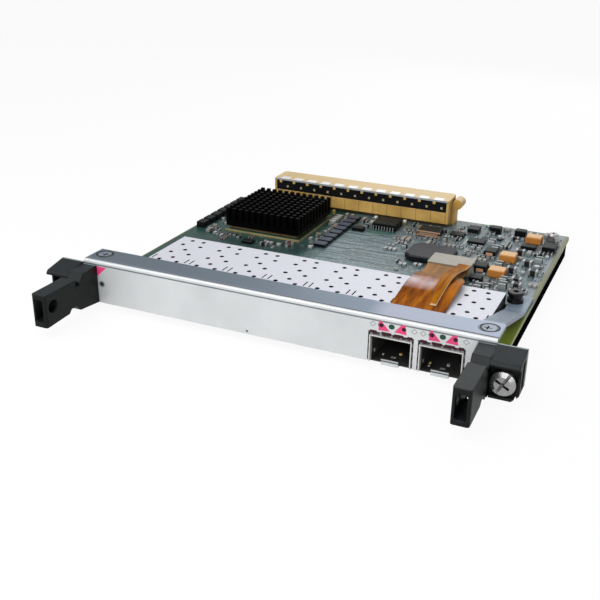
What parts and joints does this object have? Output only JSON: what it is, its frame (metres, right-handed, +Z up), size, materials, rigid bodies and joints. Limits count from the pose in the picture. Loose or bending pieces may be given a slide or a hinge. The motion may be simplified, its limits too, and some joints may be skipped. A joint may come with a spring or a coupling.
{
  "type": "shared port adapter card",
  "caption": "Plug-in card with a folded faceplate, open module bays, a perforated module cage, a populated board, a rear connector, pull handles and captive screws.",
  "frame": {"origin": "middle of the card's footprint, at the underside of the tray", "axes": "+Z up, +X to the right as seen from the front, +Y from the faceplate back to the rear connector"},
  "size_m": [0.1666, 0.1634, 0.0193],
  "materials": {
    "panel_silver": "satin",
    "screw_steel": "satin",
    "tray_black": "satin",
    "screw_black": "satin",
    "board_green": "satin",
    "cage_steel": "satin",
    "socket_black": "matte",
    "light_green": "glossy",
    "handle_black": "satin",
    "housing_gold": "satin",
    "contact_gold": "satin",
    "shield_silver": "satin",
    "sink_black": "satin",
    "pad_brown": "matte",
    "carrier_olive": "satin",
    "chip_black": "satin",
    "chip_grey": "satin",
    "socket_beige": "satin",
    "film_orange": "glossy",
    "capacitor_orange": "satin"
  },
  "bodies": {
    "card": {"faceplate": "panel_silver", "flange_screws": "screw_steel", "flange_posts": "screw_steel", "board_screws": "screw_steel", "corner_spacer": "screw_steel", "driver_leads": "screw_steel", "handle_screws": "screw_steel", "base_tray": "tray_black", "strap_screw": "screw_black", "main_board": "board_green", "port_board": "board_green", "led_board": "board_green", "status_board": "board_green", "cage_cover": "cage_steel", "cage_walls": "cage_steel", "cage_dividers": "cage_steel", "cage_floor": "cage_steel", "port_collars": "cage_steel", "port_springs": "cage_steel", "host_connectors": "socket_black", "connector_insulator": "socket_black", "port_board_film": "socket_black", "light_pipes": "light_green", "right_handle": "handle_black", "left_handle": "handle_black", "connector_housing": "housing_gold", "guide_socket": "housing_gold", "connector_contacts": "contact_gold", "connector_shield": "shield_silver", "heat_sink": "sink_black", "thermal_pad": "pad_brown", "processor": "carrier_olive", "edge_chips": "chip_black", "memory_chips": "chip_black", "driver_chip": "chip_black", "small_chips": "chip_black", "controller_chip": "chip_grey", "flex_connector": "socket_beige", "flex_cable": "film_orange", "flex_strip": "film_orange", "flex_stiffener": "film_orange", "tantalum_blocks": "capacitor_orange"},
    "right_clip": {"right_screw_clip": "screw_steel"},
    "right_screw": {"right_captive_screw": "screw_steel"},
    "left_clip": {"left_screw_clip": "screw_steel"},
    "left_screw": {"left_captive_screw": "screw_steel"}
  },
  "joints": [
    {"name": "right_screw_slide", "type": "slide", "parent": "card", "child": "right_clip", "axis": [0, -1, 0], "range_m": [0, 0.004]},
    {"name": "right_screw_turn", "type": "hinge", "parent": "right_clip", "child": "right_screw", "pos_m": [0.0783, -0.05325, 0.0082], "axis": [0, 1, 0], "continuous": true},
    {"name": "left_screw_slide", "type": "slide", "parent": "card", "child": "left_clip", "axis": [0, -1, 0], "range_m": [0, 0.004]},
    {"name": "left_screw_turn", "type": "hinge", "parent": "left_clip", "child": "left_screw", "pos_m": [-0.0783, -0.05325, 0.0082], "axis": [0, 1, 0], "continuous": true}
  ]
}
